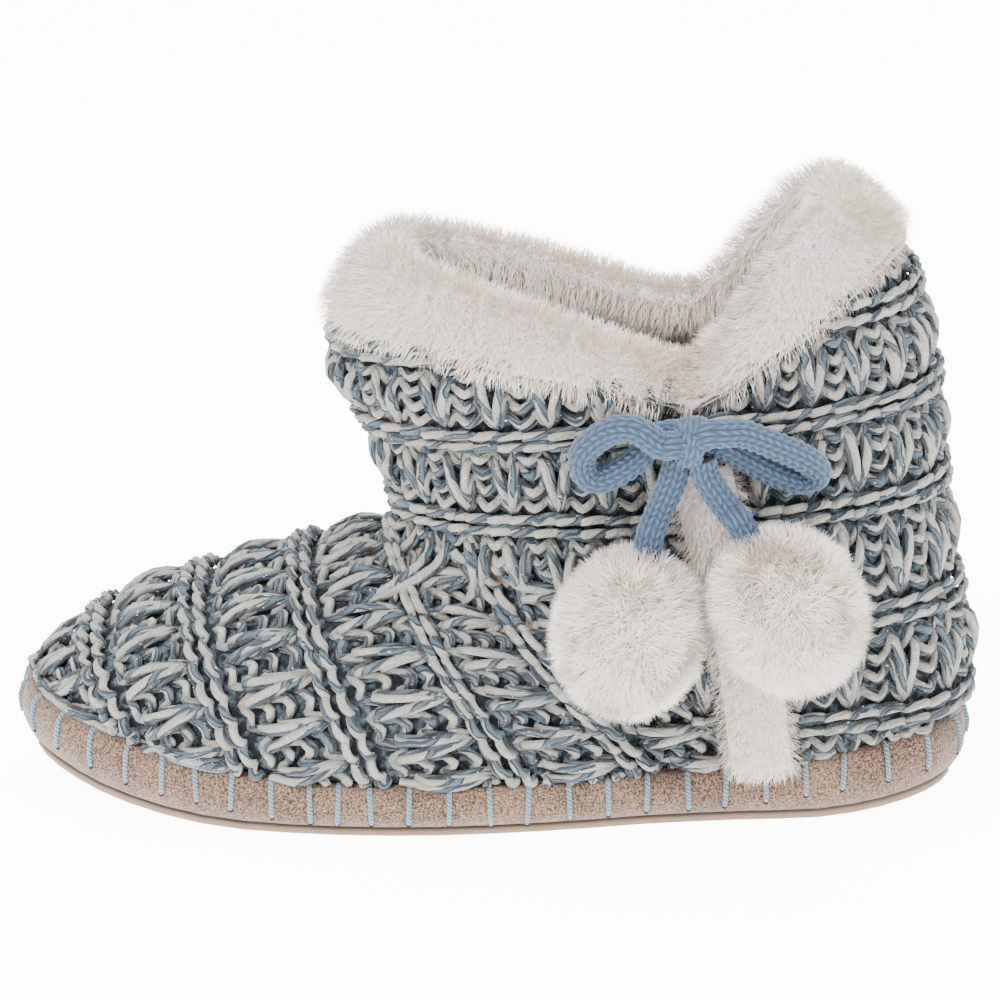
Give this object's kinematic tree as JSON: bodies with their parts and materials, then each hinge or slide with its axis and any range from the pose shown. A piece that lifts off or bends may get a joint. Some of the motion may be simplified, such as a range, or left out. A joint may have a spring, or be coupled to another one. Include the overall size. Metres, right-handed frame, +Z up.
{
  "type": "bootie slipper",
  "caption": "Chunky marled-knit ankle bootie slipper with faux-fur collar cuff, side strip, cord bow with pompoms, and suede-covered foam sole.",
  "frame": {"origin": "on the floor, on the flat underside of the outsole, under the middle of the sole's length", "axes": "+X towards the heel, -X towards the toe, -Y the outer (lateral) side of the left foot, +Z up"},
  "size_m": [0.2584, 0.1253, 0.1703],
  "materials": {
    "pale_rubber": "matt, finely textured",
    "tan_suede": "suede-like microfibre over foam",
    "cream_plush": "plush lining",
    "marled_knit": "chunky marled knit with glints",
    "cream_fur": "long soft faux fur",
    "blue_cord": "round knitted cord"
  },
  "bodies": {
    "root": {"outsole": "pale_rubber", "sole_body": "tan_suede", "insole": "cream_plush", "upper": "marled_knit", "fur_cuff": "cream_fur", "side_strip": "cream_fur", "tie_bar": "blue_cord", "knot": "blue_cord", "bow_loop_left": "blue_cord", "bow_loop_right": "blue_cord", "cord_end_left": "blue_cord", "cord_end_right": "blue_cord", "pompom_left": "cream_fur", "pompom_right": "cream_fur"}
  },
  "joints": []
}
